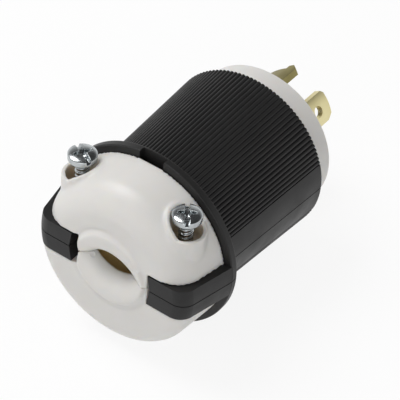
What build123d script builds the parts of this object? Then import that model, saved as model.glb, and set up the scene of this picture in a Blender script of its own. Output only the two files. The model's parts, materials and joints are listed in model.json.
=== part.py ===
# Locking power plug lying on its side, with its cord clamp loosened.
# +X runs along the plug from the cord end to the blades, +Z is the way the clamp screws point,
# and the origin is the middle of the flat mating face. All sizes are millimetres.
from build123d import *
from math import cos, radians, sin
import os

# Black shell, made of two like halves that meet on the plane Z = 0
flange_front_x = -47.2        # front of the flange, measured from the mating face
flange_thickness = 2.1
flange_radius = 24.0
flange_edge_radius = 0.4
shell_near_radius = 19.6      # over the ribs, at the flange
shell_far_radius = 21.9       # over the ribs, at the rim
rim_x = -7.2                  # the face stands this far out of the shell
shell_wall = 2.3
end_wall = 2.6
seam_gap = 0.24
rib_pitch_angle = 3.0
ribs_per_half = 48
rib_height = 0.38
cord_opening_radius = 8.0     # hole in the end wall for the conductors
window_width = 6.6            # notch through the flange, over the clamp's guide slot
window_depth = 1.5

# Ears of the shell, which wrap the sides of the clamp
ear_front_x = -61.4
ear_side_x = -58.5            # where the corner of the ear begins
ear_side_radius = 21.6
ear_face_radius = 18.0        # where the corner of the ear runs into its front face
ear_half_height = 4.3
ear_end_y = 11.5              # inner end of an ear at the seam
ear_end_slant = 0.7           # how far the end leans inwards away from the seam
ear_depth = 5.4
ear_side_wall = 3.4

# White clamp jaws
jaw_base_radius = 22.2
jaw_shoulder_radius = 21.5    # lower jaw, where its rounded corner begins
upper_shoulder_x = -55.6      # upper jaw, where its softer corner begins
upper_shoulder_radius = 20.9
upper_face_radius = 14.0      # upper jaw, where its corner runs into the front
jaw_clearance = 0.2           # jaw to flange, to ears and to guide slot
jaw_half_width = 8.8          # width of a jaw between the ears
parting_gap = 0.1
boss_radius = 10.0            # raised disc round the cord hole
boss_height = 0.8
cord_hole_half_width = 5.8
cord_hole_rise = 2.7          # half height of the cord hole
cord_hole_flare = 1.3         # rounding of its front edge
lip_thickness = 3.6           # front lip of the jaws, which grips the cord
tunnel_radius = 7.6           # room for the cord behind the lip
tongue_width = 6.2
tongue_head_width = 9.2
tongue_head_thickness = 1.8
tongue_bottom = 6.2
tongue_height = 4.8
jaw_travel = 5.0              # lift of the upper jaw along its loose screws
slot_end_clearance = 0.6      # left above the tongue at the end of that lift
corner_fullness = 1.12        # radius of the clamp end's rounded corner over its step in radius

# Clamp screws
clamp_screw_x = -53.2
clamp_screw_y = 14.6
screw_radius = 1.75
screw_clearance = 0.05        # screw to the hole that it is driven in
jaw_screw_clearance = 0.25    # screw to the upper jaw that slides on it
clamp_head_radius = 3.45
clamp_head_height = 2.5
clamp_head_crown = 0.75       # how far the head is rounded up above its rim
left_head_top = 21.3
right_head_top = 20.2
clamp_screw_bottom = -9.5
well_radius = 3.75
well_floor = 10.8
well_boss_radius = 4.75
drive_slot_width = 1.0
drive_depth = 1.2
cross_length = 4.4
left_slot_angle = 62.0
right_slot_angle = 36.0

# White front body
face_radius = 19.4
face_shoulder_radius = 20.5
face_edge_radius = 1.2
body_rear_x = -15.4
spigot_clearance = 0.1

# Blades on one circle
blade_angles = {"ground_blade": 58.5, "line_blade_x": 148.5, "neutral_blade": 238.5, "line_blade_y": 328.5}
blade_outer_radius = 10.6
blade_thickness = 1.5
blade_half_width = 3.9
blade_length = 15.0
blade_tip_rounding = 1.4
blade_hole_x = 10.4
blade_hole_radius = 1.5
blade_clearance = 0.05
lock_notch_start = 1.5        # notch beside the face, which the twist locks behind
lock_notch_length = 4.0
lock_notch_depth = 1.3
hook_length = 17.0            # finger at the tip of the ground blade
hook_width = 2.4
hook_shoulder_slant = 1.9
tail_x = -26.0                # rear end of the blades, in the terminals

# Terminal carrier and terminals
carrier_rear_x = -27.0
fin_thickness = 2.4
fin_radius = 11.2
terminal_x = -21.2
wire_gap = 1.0
clamp_plate_size = 7.4
clamp_plate_thickness = 1.2
terminal_head_radius = 3.1
terminal_head_height = 2.0
terminal_screw_depth = 3.6    # thread below the blade

# Screws that hold the shell halves to the front body
assembly_angles = (13.5, 103.5, 193.5, 283.5)
assembly_circle_radius = 15.0
assembly_head_radius = 2.8
assembly_head_height = 2.0
assembly_head_recess = 2.4
assembly_screw_end_x = -29.0
assembly_boss_radius = 3.0
assembly_boss_end_x = -31.0

# Places worked out from the sizes above
flange_back_x = flange_front_x + flange_thickness
inner_wall_x = flange_front_x + end_wall
shell_length = rim_x - flange_back_x
taper = (shell_far_radius - shell_near_radius) / shell_length
ribbed_angle = ribs_per_half * rib_pitch_angle
panel_angle = (180 - ribbed_angle) / 2
slot_top = tongue_bottom + tongue_height + jaw_travel + slot_end_clearance
jaw_rear_x = flange_front_x - jaw_clearance
boss_front_x = ear_front_x - boss_height
tunnel_front_x = boss_front_x + boss_height + lip_thickness
saddle_radius = (cord_hole_half_width ** 2 + cord_hole_rise ** 2) / (2 * cord_hole_rise)
saddle_centre_z = saddle_radius - cord_hole_rise
blade_inner_radius = blade_outer_radius - blade_thickness
carrier_radius = blade_inner_radius - blade_clearance
plate_inner_radius = blade_outer_radius + wire_gap
far_away = 40.0               # reach of cutting shapes past everything they cut


def shell_radius_at(x):
    """Radius over the ribs of the tapered shell."""
    return shell_near_radius + taper * (x - flange_back_x)


def cavity_radius_at(x):
    return shell_radius_at(x) - shell_wall


def polar(radius, angle):
    return (radius * cos(radians(angle)), radius * sin(radians(angle)))


def radial_plane(angle, radius=0.0):
    """Plane square to a radius of the plug: local x runs along the plug."""
    direction = (0, cos(radians(angle)), sin(radians(angle)))
    return Plane(origin=Vector(*direction) * radius, x_dir=(1, 0, 0), z_dir=direction)


def ribbed_arcs(radius):
    """Half outline of the shell: smooth panel, round ribs, smooth panel."""
    valley = radius - rib_height
    ThreePointArc((radius, 0), polar(radius, panel_angle / 2), polar(radius, panel_angle))
    Line(polar(radius, panel_angle), polar(valley, panel_angle))
    for rib in range(ribs_per_half):
        start = panel_angle + rib * rib_pitch_angle
        ThreePointArc(
            polar(valley, start), polar(radius, start + rib_pitch_angle / 2), polar(valley, start + rib_pitch_angle)
        )
    Line(polar(valley, 180 - panel_angle), polar(radius, 180 - panel_angle))
    ThreePointArc(polar(radius, 180 - panel_angle), polar(radius, 180 - panel_angle / 2), (-radius, 0))
    Line((-radius, 0), (radius, 0))


def outside_ring(side_x, side_radius, end_radius, base_radius):
    """Ring outside the rounded outline of the clamp end, to be cut away."""
    with BuildSketch(Plane.XZ) as ring:
        with BuildLine():
            Line((flange_front_x, far_away), (flange_front_x, base_radius))
            Line((flange_front_x, base_radius), (side_x, side_radius))
            RadiusArc((side_x, side_radius), (ear_front_x, end_radius), -(side_radius - end_radius) * corner_fullness)
            Polyline(
                (ear_front_x, end_radius),
                (-2 * far_away, end_radius),
                (-2 * far_away, far_away),
                (flange_front_x, far_away),
            )
        make_face()
    revolve(ring.sketch, axis=Axis.X, mode=Mode.SUBTRACT)


# Upper half of the shell
with BuildPart() as upper_housing:
    for section_x, section_radius in ((flange_back_x, shell_near_radius), (rim_x, shell_far_radius)):
        with BuildSketch(Plane.YZ.offset(section_x)):
            with BuildLine():
                ribbed_arcs(section_radius)
            make_face()
    loft(ruled=True)
    with BuildSketch(Plane.XZ):
        with BuildLine():
            flange_edge = Polyline(
                (flange_front_x, 0),
                (flange_front_x, flange_radius),
                (flange_back_x, flange_radius),
                (flange_back_x, 0),
                close=True,
            )
        make_face()
        fillet(flange_edge.vertices().group_by(Axis.Z)[-1], flange_edge_radius)
    revolve(axis=Axis.X)
    # Ears, first as square arms on both sides
    with BuildSketch(Plane.XY):
        with Locations((flange_front_x, 0)):
            Rectangle(flange_front_x - ear_front_x, 2 * flange_radius, align=(Align.MAX, Align.CENTER))
        with Locations((flange_front_x, 0)):
            Rectangle(
                flange_front_x - ear_front_x - ear_depth,
                2 * (ear_side_radius - ear_side_wall),
                align=(Align.MAX, Align.CENTER),
                mode=Mode.SUBTRACT,
            )
    extrude(amount=ear_half_height, both=True)
    outside_ring(ear_side_x, ear_side_radius, ear_face_radius, flange_radius)
    # Room for the jaws between the ears, with ends that lean inwards
    with BuildSketch(Plane.YZ.offset(flange_front_x)):
        with BuildLine():
            Polyline(
                (-ear_end_y, 0),
                (-ear_end_y + ear_end_slant, ear_half_height),
                (ear_end_y - ear_end_slant, ear_half_height),
                (ear_end_y, 0),
                (ear_end_y - ear_end_slant, -ear_half_height),
                (-ear_end_y + ear_end_slant, -ear_half_height),
                close=True,
            )
        make_face()
    extrude(amount=ear_front_x - flange_front_x, mode=Mode.SUBTRACT)
    # Wiring chamber and cord opening
    with BuildSketch(Plane.XZ):
        with BuildLine():
            Polyline(
                (inner_wall_x, 0),
                (inner_wall_x, cavity_radius_at(inner_wall_x)),
                (rim_x, cavity_radius_at(rim_x)),
                (rim_x, 0),
                close=True,
            )
        make_face()
    revolve(axis=Axis.X, mode=Mode.SUBTRACT)
    with BuildSketch(Plane.YZ.offset(flange_front_x)):
        Circle(cord_opening_radius)
        Rectangle(window_width, slot_top, align=(Align.CENTER, Align.MIN))
    extrude(amount=end_wall, mode=Mode.SUBTRACT)
    with BuildSketch(Plane.YZ.offset(flange_front_x)):
        Rectangle(window_width, far_away, align=(Align.CENTER, Align.MIN))
    extrude(amount=window_depth, mode=Mode.SUBTRACT)
    # Bosses for the assembly screws
    for angle in assembly_angles[:2]:
        boss_centre = polar(assembly_circle_radius, angle)
        boss_root = polar(cavity_radius_at(assembly_boss_end_x), angle)
        with BuildSketch(Plane.YZ.offset(assembly_boss_end_x)):
            SlotCenterPoint(
                ((boss_centre[0] + boss_root[0]) / 2, (boss_centre[1] + boss_root[1]) / 2),
                boss_centre,
                2 * assembly_boss_radius,
            )
            Circle(shell_radius_at(assembly_boss_end_x) - shell_wall / 2, mode=Mode.INTERSECT)
        extrude(amount=body_rear_x - assembly_boss_end_x)
        with BuildSketch(Plane.YZ.offset(assembly_screw_end_x)):
            with Locations(boss_centre):
                Circle(screw_radius + screw_clearance)
        extrude(amount=body_rear_x - assembly_screw_end_x, mode=Mode.SUBTRACT)
    split(bisect_by=Plane.XY.offset(seam_gap / 2), keep=Keep.TOP)
upper_housing.part.label = "upper_housing"

# Lower half of the shell, the same moulding turned over
with BuildPart() as lower_housing:
    add(upper_housing.part.rotate(Axis.X, 180))
lower_housing.part.label = "lower_housing"


def jaw_tongue():
    """Tongue behind a jaw, whose wide head keeps it in the guide slot."""
    for width, start_x, length in (
        (tongue_width, jaw_rear_x, inner_wall_x + jaw_clearance - jaw_rear_x),
        (tongue_head_width, inner_wall_x + jaw_clearance, tongue_head_thickness),
    ):
        with BuildSketch(Plane.YZ.offset(start_x)) as tongue:
            with Locations((0, tongue_bottom)):
                Rectangle(width, tongue_height, align=(Align.CENTER, Align.MIN))
        extrude(tongue.sketch, amount=length)


def jaw_openings():
    """Cord hole with its rounded front edge, tunnel behind it, and room for the ears."""
    saddle_axis = Axis((0, 0, -saddle_centre_z), (1, 0, 0))
    with BuildSketch(Plane.XZ) as saddle:
        with BuildLine():
            front = boss_front_x
            Line((front, -saddle_centre_z), (front, saddle_radius + cord_hole_flare - saddle_centre_z))
            RadiusArc(
                (front, saddle_radius + cord_hole_flare - saddle_centre_z),
                (front + cord_hole_flare, saddle_radius - saddle_centre_z),
                cord_hole_flare,
            )
            Polyline(
                (front + cord_hole_flare, saddle_radius - saddle_centre_z),
                (jaw_rear_x, saddle_radius - saddle_centre_z),
                (jaw_rear_x, -saddle_centre_z),
                (front, -saddle_centre_z),
            )
        make_face()
    revolve(saddle.sketch, axis=saddle_axis, mode=Mode.SUBTRACT)
    with BuildSketch(Plane.YZ.offset(tunnel_front_x)) as tunnel:
        with Locations((0, -saddle_centre_z / 2)):
            Circle(tunnel_radius)
    extrude(tunnel.sketch, amount=jaw_rear_x - tunnel_front_x, mode=Mode.SUBTRACT)
    with BuildSketch(Plane.YZ.offset(jaw_rear_x)) as ear_room:
        for side in (1, -1):
            with Locations((side * jaw_half_width, 0)):
                Rectangle(
                    far_away,
                    2 * (ear_half_height + jaw_clearance),
                    align=(Align.MIN if side > 0 else Align.MAX, Align.CENTER),
                )
    extrude(ear_room.sketch, amount=boss_front_x - jaw_rear_x - 1, mode=Mode.SUBTRACT)


def jaw_base(shoulder_x, shoulder_radius, corner_end_radius):
    """Turned form of a jaw, with the raised disc on its front."""
    with BuildSketch(Plane.XZ) as profile:
        with BuildLine():
            Line((jaw_rear_x, 0), (jaw_rear_x, jaw_base_radius))
            Line((jaw_rear_x, jaw_base_radius), (shoulder_x, shoulder_radius))
            RadiusArc(
                (shoulder_x, shoulder_radius),
                (ear_front_x, corner_end_radius),
                -(shoulder_radius - corner_end_radius) * corner_fullness,
            )
            Polyline(
                (ear_front_x, corner_end_radius),
                (ear_front_x, boss_radius),
                (boss_front_x, boss_radius - boss_height),
                (boss_front_x, 0),
                (jaw_rear_x, 0),
            )
        make_face()
    revolve(profile.sketch, axis=Axis.X)


# Upper jaw, with two deep wells for the clamp screws
with BuildPart() as upper_clamp_jaw:
    jaw_base(upper_shoulder_x, upper_shoulder_radius, upper_face_radius)
    with BuildSketch(Plane.XY):
        with Locations((clamp_screw_x, clamp_screw_y), (clamp_screw_x, -clamp_screw_y)):
            Circle(well_boss_radius)
    extrude(amount=flange_radius)
    outside_ring(ear_side_x, jaw_shoulder_radius, ear_face_radius, jaw_base_radius)
    with BuildSketch(Plane.XY.offset(well_floor)):
        with Locations((clamp_screw_x, clamp_screw_y), (clamp_screw_x, -clamp_screw_y)):
            Circle(well_radius)
    extrude(amount=flange_radius, mode=Mode.SUBTRACT)
    with BuildSketch(Plane.XY):
        with Locations((clamp_screw_x, clamp_screw_y), (clamp_screw_x, -clamp_screw_y)):
            Circle(screw_radius + jaw_screw_clearance)
    extrude(amount=flange_radius, mode=Mode.SUBTRACT)
    jaw_openings()
    jaw_tongue()
    split(bisect_by=Plane.XY.offset(parting_gap / 2), keep=Keep.TOP)
upper_clamp_jaw.part.label = "upper_clamp_jaw"

# Lower jaw, modelled the same way up and turned over
with BuildPart() as lower_clamp_jaw:
    jaw_base(ear_side_x, jaw_shoulder_radius, ear_face_radius)
    with BuildSketch(Plane.XY):
        with Locations((clamp_screw_x, clamp_screw_y), (clamp_screw_x, -clamp_screw_y)):
            Circle(screw_radius + screw_clearance)
    extrude(amount=-clamp_screw_bottom, mode=Mode.SUBTRACT)
    jaw_openings()
    jaw_tongue()
    split(bisect_by=Plane.XY.offset(parting_gap / 2), keep=Keep.TOP)
lower_clamp_jaw.part = lower_clamp_jaw.part.rotate(Axis.X, 180)
lower_clamp_jaw.part.label = "lower_clamp_jaw"

# Clamp screws: round head with a slot through its rim and a shorter cross
clamp_screws = {}
for name, side, head_top, slot_angle in (
    ("clamp_screw_left", 1, left_head_top, left_slot_angle),
    ("clamp_screw_right", -1, right_head_top, right_slot_angle),
):
    head_bottom = head_top - clamp_head_height
    screw_origin = (clamp_screw_x, side * clamp_screw_y, 0)
    with BuildPart(Plane(origin=screw_origin)) as clamp_screw:
        with BuildSketch(Plane(origin=screw_origin, x_dir=(1, 0, 0), z_dir=(0, -1, 0))):
            with BuildLine():
                rim = head_top - clamp_head_crown
                Polyline(
                    (0, head_top),
                    (0, clamp_screw_bottom),
                    (screw_radius, clamp_screw_bottom),
                    (screw_radius, head_bottom),
                    (clamp_head_radius, head_bottom),
                    (clamp_head_radius, rim),
                )
                EllipticalCenterArc((0, rim), clamp_head_radius, clamp_head_crown, arc_size=90)
            make_face()
        revolve(axis=Axis(screw_origin, (0, 0, 1)))
        drive_plane = Plane(origin=(screw_origin[0], screw_origin[1], head_top - drive_depth))
        with BuildSketch(drive_plane):
            Rectangle(2 * clamp_head_radius + 1, drive_slot_width, rotation=slot_angle)
            Rectangle(cross_length, drive_slot_width, rotation=slot_angle + 90)
        extrude(amount=clamp_head_height, mode=Mode.SUBTRACT)
    clamp_screw.part.label = name
    clamp_screws[name] = clamp_screw.part

# White front body: face disc, and a spigot that the shell halves close on
with BuildPart() as front_body:
    spigot_radius = cavity_radius_at(body_rear_x) - spigot_clearance
    with BuildSketch(Plane.XZ):
        with BuildLine():
            body_outline = Polyline(
                (body_rear_x, 0),
                (body_rear_x, spigot_radius),
                (rim_x, spigot_radius),
                (rim_x, face_shoulder_radius),
                (0, face_radius),
                (0, 0),
                close=True,
            )
        make_face()
        fillet(body_outline.vertices().sort_by_distance((0, 0, face_radius))[0], face_edge_radius)
    revolve(axis=Axis.X)
    for angle in blade_angles.values():
        with BuildSketch(Plane.YZ.offset(body_rear_x)):
            Circle(blade_outer_radius + blade_clearance)
            Circle(blade_inner_radius - blade_clearance, mode=Mode.SUBTRACT)
            Rectangle(
                far_away,
                2 * (blade_half_width + blade_clearance),
                rotation=angle,
                align=(Align.MIN, Align.CENTER),
                mode=Mode.INTERSECT,
            )
        extrude(amount=-body_rear_x, mode=Mode.SUBTRACT)
    with BuildSketch(Plane.YZ.offset(body_rear_x)):
        for angle in assembly_angles:
            with Locations(polar(assembly_circle_radius, angle)):
                Circle(screw_radius + screw_clearance)
        Circle(screw_radius + screw_clearance)
    extrude(amount=-body_rear_x, mode=Mode.SUBTRACT)
    with BuildSketch(Plane.YZ.offset(-assembly_head_recess - assembly_head_height)):
        for angle in assembly_angles:
            with Locations(polar(assembly_circle_radius, angle)):
                Circle(assembly_head_radius + jaw_screw_clearance)
    extrude(amount=assembly_head_recess + assembly_head_height, mode=Mode.SUBTRACT)
front_body.part.label = "front_body"

# Terminal carrier: a core with four fins that part the terminals
with BuildPart() as terminal_carrier:
    with BuildSketch(Plane.YZ.offset(carrier_rear_x)):
        Circle(carrier_radius)
        for angle in assembly_angles[:2]:
            Rectangle(2 * fin_radius, fin_thickness, rotation=angle)
        Circle(screw_radius + screw_clearance, mode=Mode.SUBTRACT)
    extrude(amount=body_rear_x - carrier_rear_x)
    for angle in blade_angles.values():
        with BuildSketch(radial_plane(angle, carrier_radius)):
            with Locations((terminal_x, 0)):
                Circle(screw_radius + screw_clearance)
        extrude(amount=-terminal_screw_depth, mode=Mode.SUBTRACT)
terminal_carrier.part.label = "terminal_carrier"

# Screw on the axis that holds the carrier to the front body
with BuildPart() as carrier_screw:
    with BuildSketch(Plane.YZ.offset(carrier_rear_x)):
        Circle(screw_radius)
    extrude(amount=body_rear_x / 2 - carrier_rear_x)
    with BuildSketch(Plane.YZ.offset(carrier_rear_x)):
        Circle(terminal_head_radius)
    extrude(amount=-terminal_head_height)
    with BuildSketch(Plane.YZ.offset(carrier_rear_x - terminal_head_height)):
        Rectangle(2 * terminal_head_radius + 1, drive_slot_width)
    extrude(amount=drive_depth, mode=Mode.SUBTRACT)
carrier_screw.part.label = "carrier_screw"

# Four blades, each with its own clamp plate and terminal screw
blade_parts = {}
for name, angle in blade_angles.items():
    is_ground = name == "ground_blade"
    with BuildPart() as blade:
        with BuildSketch(Plane.YZ.offset(tail_x)):
            Circle(blade_outer_radius)
            Circle(blade_inner_radius, mode=Mode.SUBTRACT)
        extrude(amount=hook_length + 1 - tail_x)
        with BuildSketch(radial_plane(angle)):
            with BuildLine():
                notch_end = lock_notch_start + lock_notch_length
                sides = [
                    (tail_x, blade_half_width),
                    (tail_x, -blade_half_width),
                    (lock_notch_start, -blade_half_width),
                    (lock_notch_start, lock_notch_depth - blade_half_width),
                    (notch_end, lock_notch_depth - blade_half_width),
                    (notch_end, -blade_half_width),
                ]
                if is_ground:
                    hook_side = hook_width - blade_half_width
                    tip = [
                        (hook_length - blade_tip_rounding, -blade_half_width),
                        (hook_length, -blade_half_width + blade_tip_rounding),
                        (hook_length - blade_tip_rounding / 2, hook_side),
                        (blade_length, hook_side),
                        (blade_length - hook_shoulder_slant, blade_half_width),
                    ]
                else:
                    tip = [
                        (blade_length - blade_tip_rounding, -blade_half_width),
                        (blade_length, -blade_half_width + blade_tip_rounding),
                        (blade_length, blade_half_width - blade_tip_rounding / 2),
                        (blade_length - blade_tip_rounding / 2, blade_half_width),
                    ]
                Polyline(*sides, *tip, close=True)
            make_face()
        extrude(amount=blade_outer_radius + 1, mode=Mode.INTERSECT)
        hole_places = [(terminal_x, 0)] if is_ground else [(terminal_x, 0), (blade_hole_x, 0)]
        for hole_x, hole_y in hole_places:
            hole_radius = screw_radius + screw_clearance if hole_x == terminal_x else blade_hole_radius
            with BuildSketch(radial_plane(angle)):
                with Locations((hole_x, hole_y)):
                    Circle(hole_radius)
            extrude(amount=blade_outer_radius + 1, mode=Mode.SUBTRACT)
    blade.part.label = name
    blade_parts[name] = blade.part

    role = name.replace("_blade", "")
    with BuildPart() as clamp_plate:
        with BuildSketch(radial_plane(angle, plate_inner_radius)):
            with Locations((terminal_x, 0)):
                RectangleRounded(clamp_plate_size, clamp_plate_size, screw_radius / 2)
                Circle(screw_radius + screw_clearance, mode=Mode.SUBTRACT)
        extrude(amount=clamp_plate_thickness)
    clamp_plate.part.label = "clamp_plate_" + role
    blade_parts[clamp_plate.part.label] = clamp_plate.part

    with BuildPart() as terminal_screw:
        head_seat = plate_inner_radius + clamp_plate_thickness
        with BuildSketch(radial_plane(angle, head_seat)):
            with Locations((terminal_x, 0)):
                Circle(terminal_head_radius)
        extrude(amount=terminal_head_height)
        with BuildSketch(radial_plane(angle, head_seat)):
            with Locations((terminal_x, 0)):
                Circle(screw_radius)
        extrude(amount=carrier_radius - terminal_screw_depth + screw_clearance - head_seat)
        with BuildSketch(radial_plane(angle, head_seat + terminal_head_height)):
            with Locations((terminal_x, 0)):
                Rectangle(2 * terminal_head_radius + 1, drive_slot_width)
        extrude(amount=-drive_depth, mode=Mode.SUBTRACT)
    terminal_screw.part.label = "terminal_screw_" + role
    blade_parts[terminal_screw.part.label] = terminal_screw.part

# Long screws from the face into the bosses of the shell halves
for number, angle in enumerate(assembly_angles, start=1):
    seat_x = -assembly_head_recess - assembly_head_height
    with BuildPart() as assembly_screw:
        with BuildSketch(Plane.YZ.offset(seat_x)):
            with Locations(polar(assembly_circle_radius, angle)):
                Circle(assembly_head_radius)
        extrude(amount=assembly_head_height)
        with BuildSketch(Plane.YZ.offset(assembly_screw_end_x + screw_clearance)):
            with Locations(polar(assembly_circle_radius, angle)):
                Circle(screw_radius)
        extrude(amount=seat_x - assembly_screw_end_x - screw_clearance)
        with BuildSketch(Plane.YZ.offset(seat_x + assembly_head_height)):
            with Locations(polar(assembly_circle_radius, angle)):
                Rectangle(2 * assembly_head_radius + 1, drive_slot_width, rotation=angle)
        extrude(amount=-drive_depth, mode=Mode.SUBTRACT)
    assembly_screw.part.label = f"assembly_screw_{number}"
    blade_parts[assembly_screw.part.label] = assembly_screw.part

# One file for each piece
os.makedirs("parts", exist_ok=True)
single_parts = {
    "upper_housing": upper_housing.part,
    "lower_housing": lower_housing.part,
    "upper_clamp_jaw": upper_clamp_jaw.part,
    "lower_clamp_jaw": lower_clamp_jaw.part,
    "front_body": front_body.part,
    "terminal_carrier": terminal_carrier.part,
    "carrier_screw": carrier_screw.part,
}
for name, piece in {**single_parts, **clamp_screws, **blade_parts}.items():
    export_step(piece, f"parts/{name}.step")
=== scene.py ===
"""Locking power plug on its side, with its cord clamp loosened: surfaces, screws, light and camera."""
import json
from math import cos, exp, hypot, pi, radians, sin, sqrt

import bmesh
import bpy
from mathutils import Matrix, Vector


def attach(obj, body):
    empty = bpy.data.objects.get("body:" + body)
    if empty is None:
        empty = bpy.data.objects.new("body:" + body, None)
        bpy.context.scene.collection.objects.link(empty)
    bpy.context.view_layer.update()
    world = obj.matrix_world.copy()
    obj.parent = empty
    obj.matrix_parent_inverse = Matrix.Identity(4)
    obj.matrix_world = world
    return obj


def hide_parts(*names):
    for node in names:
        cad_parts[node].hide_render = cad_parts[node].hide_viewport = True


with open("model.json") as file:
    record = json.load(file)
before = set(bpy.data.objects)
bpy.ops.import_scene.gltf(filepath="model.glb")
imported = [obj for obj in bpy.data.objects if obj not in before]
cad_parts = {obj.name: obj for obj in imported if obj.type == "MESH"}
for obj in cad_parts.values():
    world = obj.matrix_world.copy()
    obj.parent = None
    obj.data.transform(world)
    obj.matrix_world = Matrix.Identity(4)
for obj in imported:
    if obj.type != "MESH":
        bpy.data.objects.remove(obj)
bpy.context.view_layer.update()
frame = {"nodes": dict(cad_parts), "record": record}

MM = 0.001
nodes = frame["nodes"]
scene = bpy.context.scene

# Camera at the photograph's angle, in metres, and its focal length in pixels of a frame of 400 by 400
CAMERA_PLACE = Vector((-0.29516, -0.17295, 0.28340))
CAMERA_RIGHT = Vector((0.58729, -0.80679, 0.06473))
CAMERA_UP = Vector((0.51281, 0.43278, 0.74143))
CAMERA_FORWARD = Vector((0.62619, 0.40224, -0.66790))
FRAME_SIDE = 400
FOCAL_PIXELS = 1800
SENSOR_WIDTH = 36.0

# Clamp screws, in millimetres of the row frame
SCREW_X = -53.2
SCREW_Y = 14.6
SCREW_BOTTOM = -9.5
HEAD_RADIUS = 3.45
HEAD_HEIGHT = 2.2
HEAD_CROWN = 0.75
HEAD_POINTS = 288
CROWN_RINGS = 56
THREAD_OUTER = 1.75
THREAD_ROOT = 1.36
THREAD_PITCH = 1.32
THREAD_POINTS = 48
RINGS_PER_TURN = 14
THREAD_CREST = 0.19            # half width of a crest, as a share of the pitch
PLAIN_NECK = 0.7               # shank without thread under the head
NECK_SWELL = 0.12
SLOT_WIDTH = 1.0
SLOT_DEPTH = 0.85
CROSS_REACH = 2.3
CROSS_DEPTH = 1.9
CROSS_TIP = 0.36               # half width of an arm of the cross at its end
CROSS_SPREAD = 0.28            # what it gains towards the middle
RECESS_EDGE = 0.2
SLOT_EDGE = 0.22

# Clamp jaws, in the same millimetres
JAW_FRONT = -62.2
JAW_FACE = -61.4
SIDE_BACK = -49.0              # back of the side that meets the right ear
SIDE_INNER = -8.6
SIDE_OUTER = -10.6
SIDE_TOP = 4.5
PARTING = 0.06                 # half the gap between the jaws
DISC_RADIUS = 9.8
SADDLE_RADIUS = 7.58           # cord hole, and how far its centre lies past the parting
SADDLE_DROP = 4.88
MOUTH_RADIUS = 5.0
WELL_RADIUS = 3.75
TOWER_RADIUS = 4.75
TOWER_TRIM_RADIUS = 5.4
WALL_BOTTOM = 9.8
TOWER_TOP = 15.0
GROOVE_DEPTH = 0.42
GROOVE_RADIUS = 10.4
GROOVE_WIDTH = 0.55
GROOVE_BACK = -60.3
VOXEL = 0.3

# Small ring left by the mould, by its place in the photograph and its (radius, height) profile
MARK_PIXEL = (92.5, 254.4)
MARK_PROFILE = ((0.9, -0.3), (0.85, 0.12), (0.7, 0.22), (0.5, 0.1), (0.25, 0.06))

# Light, with the floor tilted because the plug rests on its flange and on the thinner end of its shell
LIGHT_TARGET = (-0.03, 0, 0)
WORLD_LIGHT = 0.42
CEILING_LIGHT = 0.06
CEILING_STARTS = 0.30          # height of a direction where the dark ceiling begins, and where it is full
CEILING_FULL = 0.62
FLOOR_REACH = 2.0
FLOOR_HEIGHT = -24.0           # millimetres, under the flange at FLOOR_X
FLOOR_X = -46.15
FLOOR_SLOPE = 2.1 / 38.95
FLOOR_GLOW = 0.88


# ---------------------------------------------------------------- materials

class Nodes:
    """Short calls for the nodes of a material or of the world."""

    def __init__(self, owner):
        owner.use_nodes = True
        self.tree = owner.node_tree

    def add(self, kind, **settings):
        node = self.tree.nodes.new(kind)
        for key, value in settings.items():
            setattr(node, key, value)
        return node

    def link(self, source, target):
        self.tree.links.new(source, target)

    def math(self, operation, *values):
        node = self.add("ShaderNodeMath", operation=operation)
        for socket, value in zip(node.inputs, values):
            if isinstance(value, float):
                socket.default_value = value
            else:
                self.link(value, socket)
        return node.outputs[0]

    def length(self, first, second):
        squares = (self.math("MULTIPLY", side, side) for side in (first, second))
        return self.math("SQRT", self.math("ADD", *squares))

    def range(self, value, from_low, from_high, to_low, to_high):
        node = self.add("ShaderNodeMapRange")
        self.link(value, node.inputs["Value"])
        for key, number in (
            ("From Min", from_low),
            ("From Max", from_high),
            ("To Min", to_low),
            ("To Max", to_high),
        ):
            node.inputs[key].default_value = number
        return node.outputs["Result"]


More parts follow.
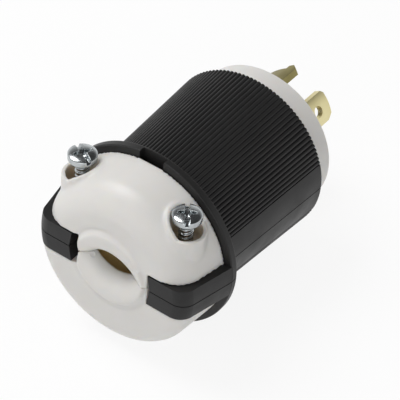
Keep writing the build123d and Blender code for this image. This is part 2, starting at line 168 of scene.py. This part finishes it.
class Shader(Nodes):
    """A node material on the object's own coordinates."""

    NOISE_LOW = 0.3
    NOISE_HIGH = 0.7

    def __init__(self, name):
        self.material = bpy.data.materials.new(name)
        super().__init__(self.material)
        self.bsdf = self.tree.nodes["Principled BSDF"]
        self.position = self.add("ShaderNodeTexCoord").outputs["Object"]

    def noise(self, scale, detail=3.0, stretch=(1, 1, 1)):
        mapping = self.add("ShaderNodeMapping")
        mapping.inputs["Scale"].default_value = stretch
        self.link(self.position, mapping.inputs["Vector"])
        noise = self.add("ShaderNodeTexNoise")
        noise.inputs["Scale"].default_value = scale
        noise.inputs["Detail"].default_value = detail
        noise.inputs["Roughness"].default_value = 0.55
        self.link(mapping.outputs["Vector"], noise.inputs["Vector"])
        return noise.outputs["Fac"]

    def ramp(self, noise, low, high):
        """Colour that goes from low to high with the noise."""
        ramp = self.add("ShaderNodeValToRGB")
        places = (self.NOISE_LOW, self.NOISE_HIGH)
        for element, place, colour in zip(ramp.color_ramp.elements, places, (low, high)):
            element.position = place
            element.color = (*colour, 1.0)
        self.link(noise, ramp.inputs["Fac"])
        return ramp.outputs["Color"]

    def mix(self, factor, first, second):
        mix = self.add("ShaderNodeMix", data_type="RGBA")
        self.link(factor, mix.inputs["Factor"])
        colour_inputs = [socket for socket in mix.inputs if socket.type == "RGBA"]
        for socket, colour in zip(colour_inputs, (first, second)):
            self.link(colour, socket)
        return next(socket for socket in mix.outputs if socket.type == "RGBA")

    def colour(self, source):
        self.link(source, self.bsdf.inputs["Base Color"])

    def roughness(self, noise, low, high):
        rough = self.range(noise, self.NOISE_LOW, self.NOISE_HIGH, low, high)
        self.link(rough, self.bsdf.inputs["Roughness"])

    def bump(self, height, distance, strength):
        bump = self.add("ShaderNodeBump")
        bump.inputs["Strength"].default_value = strength
        bump.inputs["Distance"].default_value = distance
        self.link(height, bump.inputs["Height"])
        self.link(bump.outputs["Normal"], self.bsdf.inputs["Normal"])

    def set(self, **values):
        for key, value in values.items():
            self.bsdf.inputs[key.replace("_", " ")].default_value = value


def black_nylon():
    s = Shader("black_nylon")
    s.colour(s.ramp(s.noise(45.0, detail=4.0), (0.0115, 0.0112, 0.0115), (0.0180, 0.0174, 0.0172)))
    s.roughness(s.noise(160.0), 0.36, 0.50)
    s.set(Specular_IOR_Level=0.28, IOR=1.5)
    s.bump(s.noise(2600.0, detail=2.0), 0.000025, 0.6)
    return s.material


def white_nylon(name, shade_mask=None):
    """Off-white nylon, with painted shade where the given mask says that the surface lies deep inside: darker
    and browner there.
    """
    s = Shader(name)
    colour = s.ramp(s.noise(38.0, detail=4.0), (0.665, 0.650, 0.625), (0.715, 0.700, 0.675))
    # Painted shade: a darker, browner colour where the mask says the surface lies deep in the cord tunnel or the
    # screw wells.
    if shade_mask:
        inside = s.ramp(s.noise(120.0), (0.52, 0.37, 0.15), (0.60, 0.44, 0.20))
        colour = s.mix(shade_mask(s), colour, inside)
    s.colour(colour)
    s.roughness(s.noise(180.0), 0.36, 0.46)
    s.set(IOR=1.5, Subsurface_Weight=0.25, Subsurface_Scale=0.0015, Subsurface_Radius=(1.0, 0.7, 0.4))
    s.bump(s.noise(1500.0, detail=2.0), 0.00002, 0.5)
    return s.material


def painted_shade_inside(s):
    """Mask of painted shade: 1 in the cord tunnel behind the throat, rising to 0.55 down the screw wells, 0
    outside.
    """
    separate = s.add("ShaderNodeSeparateXYZ")
    s.link(s.position, separate.inputs["Vector"])
    x, y, z = separate.outputs

    near_axis = s.range(s.length(y, z), 7.7 * MM, 7.4 * MM, 0.0, 1.0)
    behind_throat = s.range(x, -58.4 * MM, -57.2 * MM, 0.0, 1.0)
    tunnel = s.math("MULTIPLY", near_axis, behind_throat)

    across = s.math("SUBTRACT", s.math("ABSOLUTE", y), SCREW_Y * MM)
    along = s.math("SUBTRACT", x, SCREW_X * MM)
    near_screw = s.range(s.length(across, along), 3.85 * MM, 3.78 * MM, 0.0, 1.0)
    well = s.math("MULTIPLY", near_screw, s.range(z, 17.5 * MM, 13.0 * MM, 0.0, 0.55))
    return s.math("MAXIMUM", tunnel, well)


def zinc_steel():
    s = Shader("zinc_steel")
    s.colour(s.ramp(s.noise(300.0, detail=4.0), (0.36, 0.38, 0.39), (0.55, 0.58, 0.59)))
    s.roughness(s.noise(700.0), 0.14, 0.28)
    s.set(Metallic=1.0)
    s.bump(s.noise(900.0), 0.00003, 0.6)
    return s.material


def brass(name, dark, light):
    s = Shader(name)
    s.colour(s.ramp(s.noise(110.0, detail=4.0), dark, light))
    s.roughness(s.noise(500.0, stretch=(0.12, 1, 1)), 0.28, 0.42)
    s.set(Metallic=1.0)
    s.bump(s.noise(1300.0, detail=2.0, stretch=(0.08, 1, 1)), 0.00002, 0.5)
    return s.material


materials = {
    "black_nylon": black_nylon(),
    "white_nylon": white_nylon("white_nylon"),
    # The jaws' white nylon has painted shade in the cord tunnel and down the screw wells.
    "white_jaw_painted_shade": white_nylon("white_jaw_painted_shade", painted_shade_inside),
    "zinc_steel": zinc_steel(),
    "brass": brass("brass", (0.62, 0.54, 0.27), (0.76, 0.69, 0.40)),
    "tarnished_brass": brass("tarnished_brass", (0.22, 0.19, 0.075), (0.33, 0.29, 0.12)),
}


# ---------------------------------------------------------------- mesh helpers

def edge_step(distance, width):
    """Smooth step from 0 to 1 as distance goes from -width / 2 to width / 2."""
    t = min(max(distance / width + 0.5, 0.0), 1.0)
    return t * t * (3 - 2 * t)


def bridge(bm, near, far):
    """Faces between two rings that have as many points."""
    for k in range(len(near)):
        j = (k + 1) % len(near)
        bm.faces.new((near[k], near[j], far[j], far[k]))


def closed_object(name, bm):
    """Object of a closed mesh that is given in millimetres."""
    bmesh.ops.recalc_face_normals(bm, faces=bm.faces)
    mesh = bpy.data.meshes.new(name)
    bm.to_mesh(mesh)
    bm.free()
    mesh.transform(Matrix.Scale(MM, 4))
    made = bpy.data.objects.new(name, mesh)
    scene.collection.objects.link(made)
    return made


def prism(name, outline, low, high, along):
    """Closed object with an outline in millimetres, drawn out from low to high along X or Z."""
    bm = bmesh.new()
    bottom, top = (
        [bm.verts.new((place, u, v) if along == "X" else (u, v, place)) for u, v in outline]
        for place in (low, high)
    )
    bm.faces.new(bottom)
    bm.faces.new(top)
    bridge(bm, bottom, top)
    return closed_object(name, bm)


def turned(name, profile, count, hollow=False):
    """Closed object turned about Z from (radius, height) pairs in millimetres; hollow closes the profile."""
    bm = bmesh.new()
    angles = [2 * pi * k / count for k in range(count)]
    rings = [[bm.verts.new((r * cos(a), r * sin(a), height)) for a in angles] for r, height in profile]
    for near, far in zip(rings, rings[1:]):
        bridge(bm, near, far)
    if hollow:
        bridge(bm, rings[-1], rings[0])
    else:
        bm.faces.new(rings[0])
        bm.faces.new(rings[-1])
    return closed_object(name, bm)


def dressed(piece, material, body, node=None):
    """Gives a piece its finish and the body that it rides on, and hides the CAD node that it stands for."""
    piece.data.materials.clear()
    piece.data.materials.append(materials[material])
    piece.data.shade_smooth()
    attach(piece, body)
    if node:
        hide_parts(node)


def applied(piece):
    """Replaces the mesh of a piece by what its modifiers make of it."""
    bpy.context.view_layer.update()
    depsgraph = bpy.context.evaluated_depsgraph_get()
    mesh = bpy.data.meshes.new_from_object(piece.evaluated_get(depsgraph))
    piece.modifiers.clear()
    piece.data = mesh


def remeshed(piece):
    """Makes one even skin of all that a piece holds."""
    remesh = piece.modifiers.new("skin", "REMESH")
    remesh.mode = "VOXEL"
    remesh.voxel_size = VOXEL * MM
    applied(piece)


def cut_away(piece, cutter):
    cut = piece.modifiers.new("cut", "BOOLEAN")
    cut.operation = "DIFFERENCE"
    cut.solver = "EXACT"
    cut.object = cutter
    applied(piece)
    bpy.data.objects.remove(cutter)


def softened(piece, weight_of, rounds):
    """Smooths a piece where weight_of(x, y, z), in millimetres, says so."""
    group = piece.vertex_groups.new(name="soft")
    for vertex in piece.data.vertices:
        weight = weight_of(*(c / MM for c in vertex.co))
        if weight > 0:
            group.add([vertex.index], weight, "REPLACE")
    smooth = piece.modifiers.new("soft", "SMOOTH")
    smooth.factor = 0.5
    smooth.iterations = rounds
    smooth.vertex_group = "soft"
    applied(piece)
    piece.vertex_groups.clear()


# ---------------------------------------------------------------- clamp screws

def recess_depth(x, y, angle):
    """Depth of the drive recess below the crown: a slot through the rim and a tapered cross."""
    along = abs(x * cos(angle) + y * sin(angle))
    across = abs(-x * sin(angle) + y * cos(angle))
    slot = SLOT_DEPTH * edge_step(SLOT_WIDTH / 2 - across, SLOT_EDGE)
    reach = hypot(x, y) / CROSS_REACH
    arm_depth = CROSS_DEPTH * max(0.0, 1 - reach ** 2)
    arm_width = CROSS_TIP + CROSS_SPREAD * max(0.0, 1 - reach)
    arms = (edge_step(arm_width - offset, RECESS_EDGE) for offset in (along, across))
    return max(slot, arm_depth * max(arms))


def clamp_screw(node_name, side, head_top, slot_degrees):
    """Screw with a rounded slotted head and a coarse thread, as one closed skin."""
    slot_angle = radians(slot_degrees)
    head_bottom = head_top - HEAD_HEIGHT
    bm = bmesh.new()
    loops = []

    def add_ring(count, radius_at, height_at):
        ring = []
        for k in range(count):
            a = 2 * pi * k / count
            r = radius_at(a)
            ring.append(bm.verts.new((r * cos(a), r * sin(a), height_at(r, a))))
        loops.append(ring)

    def crown(r, a):
        dome = HEAD_CROWN * sqrt(max(0.0, 1 - (r / HEAD_RADIUS) ** 2))
        return head_top - HEAD_CROWN + dome - recess_depth(r * cos(a), r * sin(a), slot_angle)

    def thread_radius(z, a):
        threaded = edge_step(head_bottom - PLAIN_NECK - z, 0.9)
        phase = (z / THREAD_PITCH - a / (2 * pi)) % 1.0
        crest = exp(-((phase - 0.5) / THREAD_CREST) ** 4)
        return THREAD_ROOT + (THREAD_OUTER - THREAD_ROOT) * crest * threaded + NECK_SWELL * (1 - threaded)

    # Crown, with its rings closer together towards the rim
    for n in range(1, CROWN_RINGS + 1):
        share = n / CROWN_RINGS
        r = HEAD_RADIUS * (sin(share * pi / 2) if share > 0.5 else share * sqrt(2))
        add_ring(HEAD_POINTS, lambda a, r=r: r, crown)

    # Rounded lower rim and underside
    for r, rise in (
        (HEAD_RADIUS, 0.25),
        (HEAD_RADIUS - 0.07, 0.07),
        (HEAD_RADIUS - 0.25, 0.0),
        (THREAD_ROOT + 0.5, 0.0),
    ):
        add_ring(HEAD_POINTS, lambda a, r=r: r, lambda r, a, z=head_bottom + rise: z)

    # Shank, where every ring has its own radius at each angle
    z = head_bottom - 0.05
    while z > SCREW_BOTTOM:
        add_ring(THREAD_POINTS, lambda a, z=z: thread_radius(z, a), lambda r, a, z=z: z)
        z -= THREAD_PITCH / RINGS_PER_TURN
    add_ring(THREAD_POINTS, lambda a: thread_radius(SCREW_BOTTOM, a), lambda r, a: SCREW_BOTTOM)

    middle = bm.verts.new((0, 0, crown(0, 0)))
    top = loops[0]
    for k in range(HEAD_POINTS):
        bm.faces.new((middle, top[k], top[(k + 1) % HEAD_POINTS]))
    ratio = HEAD_POINTS // THREAD_POINTS
    for upper, lower in zip(loops, loops[1:]):
        if len(upper) == len(lower):
            bridge(bm, upper, lower)
        else:
            for k in range(THREAD_POINTS):
                arc = [upper[(k * ratio + i) % HEAD_POINTS] for i in range(ratio + 1)]
                bm.faces.new([*reversed(arc), lower[k], lower[(k + 1) % THREAD_POINTS]])
    bm.faces.new(list(reversed(loops[-1])))

    bmesh.ops.translate(bm, verts=bm.verts, vec=(SCREW_X, side * SCREW_Y, 0))
    screw = closed_object(node_name + "_threaded", bm)
    dressed(screw, "zinc_steel", "plug", node_name)


clamp_screw("clamp_screw_left", 1, 21.3, 62.0)
clamp_screw("clamp_screw_right", -1, 20.2, 36.0)


# ---------------------------------------------------------------- clamp jaws

def jaw_side(up):
    """The side of a jaw that meets the right ear, with the edge of the raised disc on it."""
    low, high = PARTING * up, SIDE_TOP * up
    outline = [(SIDE_INNER, low), (SIDE_OUTER, low), (SIDE_OUTER, high), (SIDE_INNER, high)]
    rim = [(-sqrt(DISC_RADIUS ** 2 - z * z), z * up) for z in (PARTING, 1.0, 2.0, 3.0, 4.0, SIDE_TOP)]
    disc = [(SIDE_INNER + 0.1, low), *rim, (SIDE_INNER + 0.1, high)]
    return [
        prism("side", outline, JAW_FACE, SIDE_BACK, "X"),
        prism("disc", disc, JAW_FRONT + 0.05, JAW_FACE + 0.1, "X"),
    ]


def well_wall(side):
    """Round wall of a screw well, up to the tower's top."""
    profile = (
        (WELL_RADIUS, WALL_BOTTOM),
        (WELL_RADIUS, TOWER_TOP),
        (TOWER_RADIUS, TOWER_TOP),
        (TOWER_RADIUS, WALL_BOTTOM),
    )
    wall = turned("wall", profile, 72, hollow=True)
    wall.data.transform(Matrix.Translation((SCREW_X * MM, side * SCREW_Y * MM, 0)))
    return wall


def tower_trim(side):
    """Cutter for what stands above the tower's top on its outer side."""
    half = []
    for k in range(19):
        a = radians(-90 + 10 * k)
        across = SCREW_Y + 0.5 + TOWER_TRIM_RADIUS * cos(a)
        half.append((SCREW_X + TOWER_TRIM_RADIUS * sin(a), side * across))
    return prism("tower_top", half, TOWER_TOP, 30.0, "Z")


def bell_mouth(up):
    """Turned cutter for the rounded mouth of the cord hole in the upper (up = 1) or lower (-1) jaw."""
    profile = [(SADDLE_RADIUS + MOUTH_RADIUS, JAW_FRONT - 1.0)]
    for k in range(13):
        a = radians(7.5 * k)
        profile.append((SADDLE_RADIUS + MOUTH_RADIUS * (1 - sin(a)), JAW_FRONT + MOUTH_RADIUS * (1 - cos(a))))
    profile.append((SADDLE_RADIUS, JAW_FRONT + MOUTH_RADIUS + 0.4))
    mouth = turned("mouth", profile, 160)
    along_x = Matrix(((0, 0, 1, 0), (1, 0, 0, 0), (0, 1, 0, 0), (0, 0, 0, 1)))
    mouth.data.transform(Matrix.Translation((0, 0, -up * SADDLE_DROP * MM)) @ along_x)
    return mouth


def groove_round_disc(jaw, up):
    """Soft groove round the raised disc, on the upper jaw only towards the left ear."""
    for vertex in jaw.data.vertices:
        x, y, z = (c / MM for c in vertex.co)
        if x < GROOVE_BACK:
            share = edge_step(y - 2.0, 8.0) if up > 0 else 1.0
            share *= exp(-((hypot(y, z) - GROOVE_RADIUS) / GROOVE_WIDTH) ** 2)
            vertex.co.x += GROOVE_DEPTH * MM * share


def outside_of_jaw(x, y, z):
    """How much a point takes part in softening the edges outside the guide slot."""
    return edge_step(-49.5 - x, 2.0)


def foot_of_tower(x, y, z):
    """How much a point takes part in softening the meeting of a tower and the dome."""
    reach = hypot(x - SCREW_X, abs(y) - SCREW_Y)
    round_tower = edge_step(reach - 5.0, 0.7) * edge_step(9.5 - reach, 2.0)
    return round_tower * edge_step(z - 8.0, 2.0) * edge_step(-49.0 - x, 1.0)


def moulded_jaw(node_name, up, body):
    """A jaw with the soft edges of a moulding, on the CAD jaw's own form."""
    jaw = bpy.data.objects.new(node_name + "_moulded", nodes[node_name].data.copy())
    scene.collection.objects.link(jaw)
    added = jaw_side(up)
    cutters = [bell_mouth(up)]
    if up > 0:
        added += [well_wall(side) for side in (1, -1)]
        cutters += [tower_trim(side) for side in (1, -1)]
    with bpy.context.temp_override(active_object=jaw, selected_editable_objects=[jaw, *added]):
        bpy.ops.object.join()
    remeshed(jaw)
    for cutter in cutters:
        cut_away(jaw, cutter)
    remeshed(jaw)
    groove_round_disc(jaw, up)
    if up > 0:
        softened(jaw, foot_of_tower, 22)
    softened(jaw, outside_of_jaw, 4)
    # The jaw's material carries painted shade in its cord tunnel and screw wells.
    dressed(jaw, "white_jaw_painted_shade", body, node_name)
    return jaw


def moulding_mark(jaw):
    """Low round ring left by the mould, where the photograph's line of sight meets the jaw."""
    bpy.context.view_layer.update()
    u, v = ((pixel - FRAME_SIDE / 2) / FOCAL_PIXELS for pixel in MARK_PIXEL)
    sight = CAMERA_FORWARD + CAMERA_RIGHT * u - CAMERA_UP * v
    _, place, normal, _ = jaw.ray_cast(CAMERA_PLACE, sight.normalized())
    mark = turned("moulding_mark", MARK_PROFILE, 32)
    upright = normal.to_track_quat("Z", "Y").to_matrix().to_4x4()
    mark.data.transform(Matrix.Translation(place) @ upright)
    dressed(mark, "white_nylon", "plug")


moulded_jaw("upper_clamp_jaw", 1, "clamp_jaw")
lower_jaw = moulded_jaw("lower_clamp_jaw", -1, "plug")
moulding_mark(lower_jaw)

# CAD pieces keep their shape and get their surfaces
slots = {part["node"]: part["material_slot"] for part in frame["record"]["subparts"]}
for node_name, node in nodes.items():
    finish = "tarnished_brass" if node_name == "ground_blade" else slots[node_name]
    node.data.materials.clear()
    node.data.materials.append(materials[finish])


# ---------------------------------------------------------------- camera, light and floor

camera_data = bpy.data.cameras.new("camera")
camera_data.sensor_width = SENSOR_WIDTH
camera_data.lens = SENSOR_WIDTH * FOCAL_PIXELS / FRAME_SIDE
camera_data.clip_start = 0.01
camera = bpy.data.objects.new("camera", camera_data)
scene.collection.objects.link(camera)
turn = Matrix((CAMERA_RIGHT, CAMERA_UP, -CAMERA_FORWARD)).transposed().to_4x4()
camera.matrix_world = Matrix.Translation(CAMERA_PLACE) @ turn
scene.camera = camera


def area_light(name, place, size, power):
    data = bpy.data.lights.new(name, "AREA")
    data.shape = "DISK"
    data.size = size
    data.energy = power
    lamp = bpy.data.objects.new(name, data)
    lamp.location = place
    lamp.rotation_euler = (Vector(LIGHT_TARGET) - Vector(place)).to_track_quat("-Z", "Y").to_euler()
    scene.collection.objects.link(lamp)


area_light("key_light", (-0.15, 0.45, 0.75), size=0.5, power=4.7)
area_light("fill_light", (-0.75, -0.35, 0.35), size=0.6, power=1.5)

# White backdrop for the camera, and in reflections white all round under a dark ceiling
world = bpy.data.worlds.new("studio")
scene.world = world
studio = Nodes(world)
background = studio.tree.nodes["Background"]
background.inputs["Color"].default_value = (1, 1, 1, 1)
ray = studio.add("ShaderNodeLightPath").outputs
seen = studio.math("MAXIMUM", ray["Is Camera Ray"], ray["Is Transmission Ray"])
strength = studio.range(seen, 0.0, 1.0, WORLD_LIGHT, 1.0)
direction = studio.add("ShaderNodeSeparateXYZ")
studio.link(studio.add("ShaderNodeTexCoord").outputs["Generated"], direction.inputs["Vector"])
ceiling = studio.range(direction.outputs["Z"], CEILING_STARTS, CEILING_FULL, 1.0, CEILING_LIGHT)
reflected = studio.add("ShaderNodeMix")
for socket, source in ((0, ray["Is Glossy Ray"]), (2, strength), (3, ceiling)):
    studio.link(source, reflected.inputs[socket])
studio.link(reflected.outputs[0], background.inputs["Strength"])

# Pale floor that keeps the plug's shadow and otherwise shows as white as the backdrop
floor_mesh = bpy.data.meshes.new("floor")
corners = [(x * FLOOR_REACH, y * FLOOR_REACH) for x, y in ((-1, -1), (1, -1), (1, 1), (-1, 1))]
floor_points = [(x, y, FLOOR_HEIGHT * MM + FLOOR_SLOPE * (x - FLOOR_X * MM)) for x, y in corners]
floor_mesh.from_pydata(floor_points, [], [(0, 1, 2, 3)])
floor = bpy.data.objects.new("floor", floor_mesh)
scene.collection.objects.link(floor)
floor_material = bpy.data.materials.new("floor_white")
surface = Nodes(floor_material)
matte = surface.tree.nodes["Principled BSDF"]
matte.inputs["Base Color"].default_value = (0.9, 0.9, 0.9, 1)
matte.inputs["Roughness"].default_value = 0.9
matte.inputs["Specular IOR Level"].default_value = 0.0
glow = surface.add("ShaderNodeEmission")
blend = surface.add("ShaderNodeMixShader")
ray = surface.add("ShaderNodeLightPath").outputs
seen = surface.math("MAXIMUM", ray["Is Camera Ray"], ray["Is Glossy Ray"])
seen = surface.math("MAXIMUM", seen, ray["Is Transmission Ray"])
for socket, source in enumerate((surface.math("MULTIPLY", seen, FLOOR_GLOW), matte.outputs[0], glow.outputs[0])):
    surface.link(source, blend.inputs[socket])
surface.link(blend.outputs[0], surface.tree.nodes["Material Output"].inputs["Surface"])
floor_mesh.materials.append(floor_material)

scene.view_settings.view_transform = "Standard"
